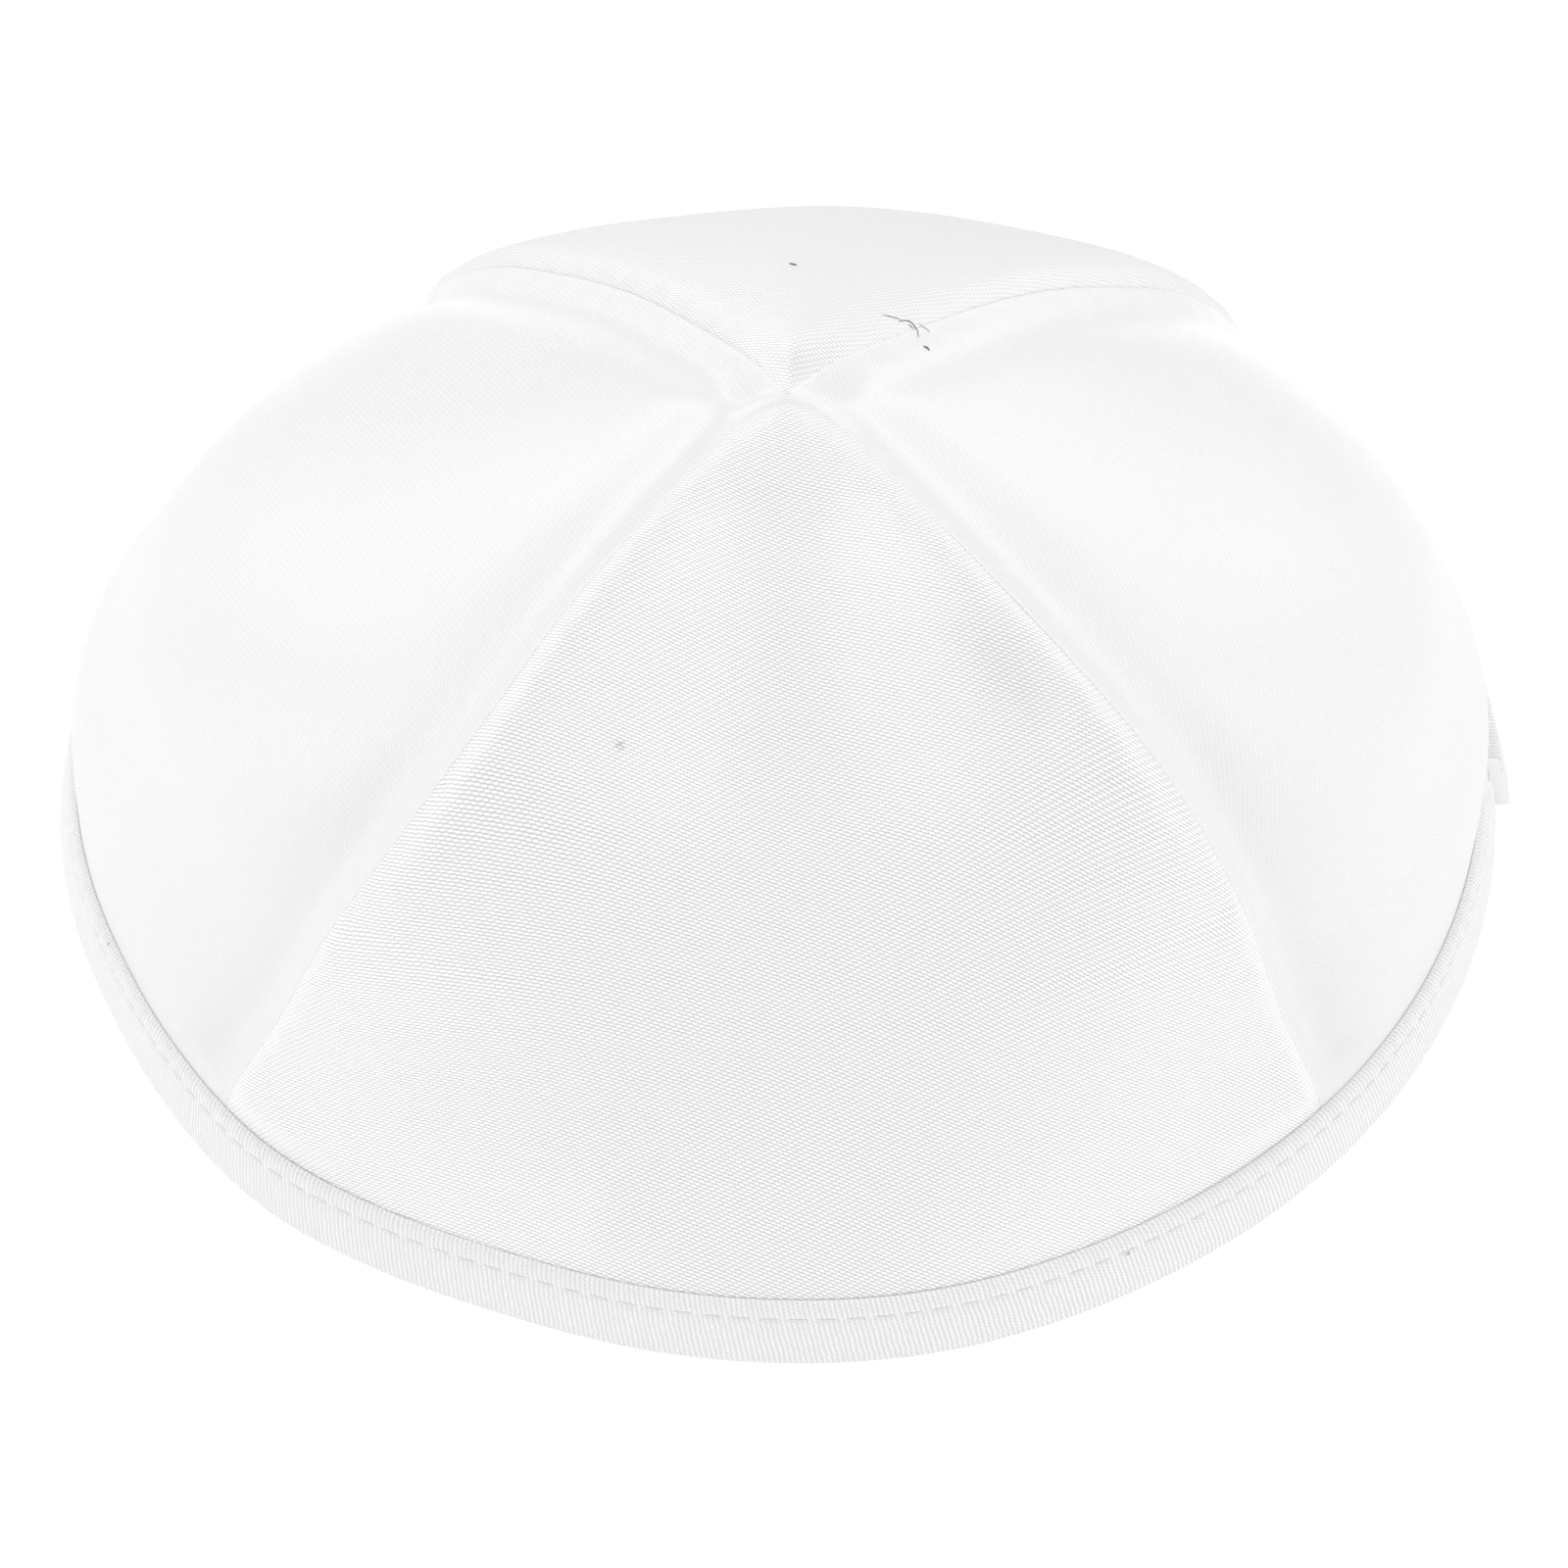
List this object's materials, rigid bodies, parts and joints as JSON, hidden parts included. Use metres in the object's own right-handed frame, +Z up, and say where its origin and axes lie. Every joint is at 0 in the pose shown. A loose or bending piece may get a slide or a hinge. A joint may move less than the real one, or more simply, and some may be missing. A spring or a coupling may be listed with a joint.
{
  "type": "skullcap",
  "caption": "Kippah: a shallow round skullcap of triangular satin panels sewn from rim to apex, with a ribbed woven tape folded round its open rim",
  "frame": {"origin": "centre of the rim, on the surface that the cap stands on", "axes": "+Z up through the crown; -Y to the front, the side nearest the viewer in the picture; +X to the viewer's right, the side where the tape's free end is"},
  "size_m": [0.1726, 0.1706, 0.06],
  "materials": {
    "satin_front_panel": "white satin weave with a soft sheen",
    "satin_right_panel": "white satin weave with a soft sheen",
    "satin_back_panel": "white satin weave with a soft sheen",
    "satin_left_panel": "white satin weave with a soft sheen",
    "binding_tape": "matt white ribbed weave"
  },
  "bodies": {
    "root": {"front_panel": "satin_front_panel", "right_panel": "satin_right_panel", "back_panel": "satin_back_panel", "left_panel": "satin_left_panel", "edge_tape": "binding_tape"}
  },
  "joints": []
}
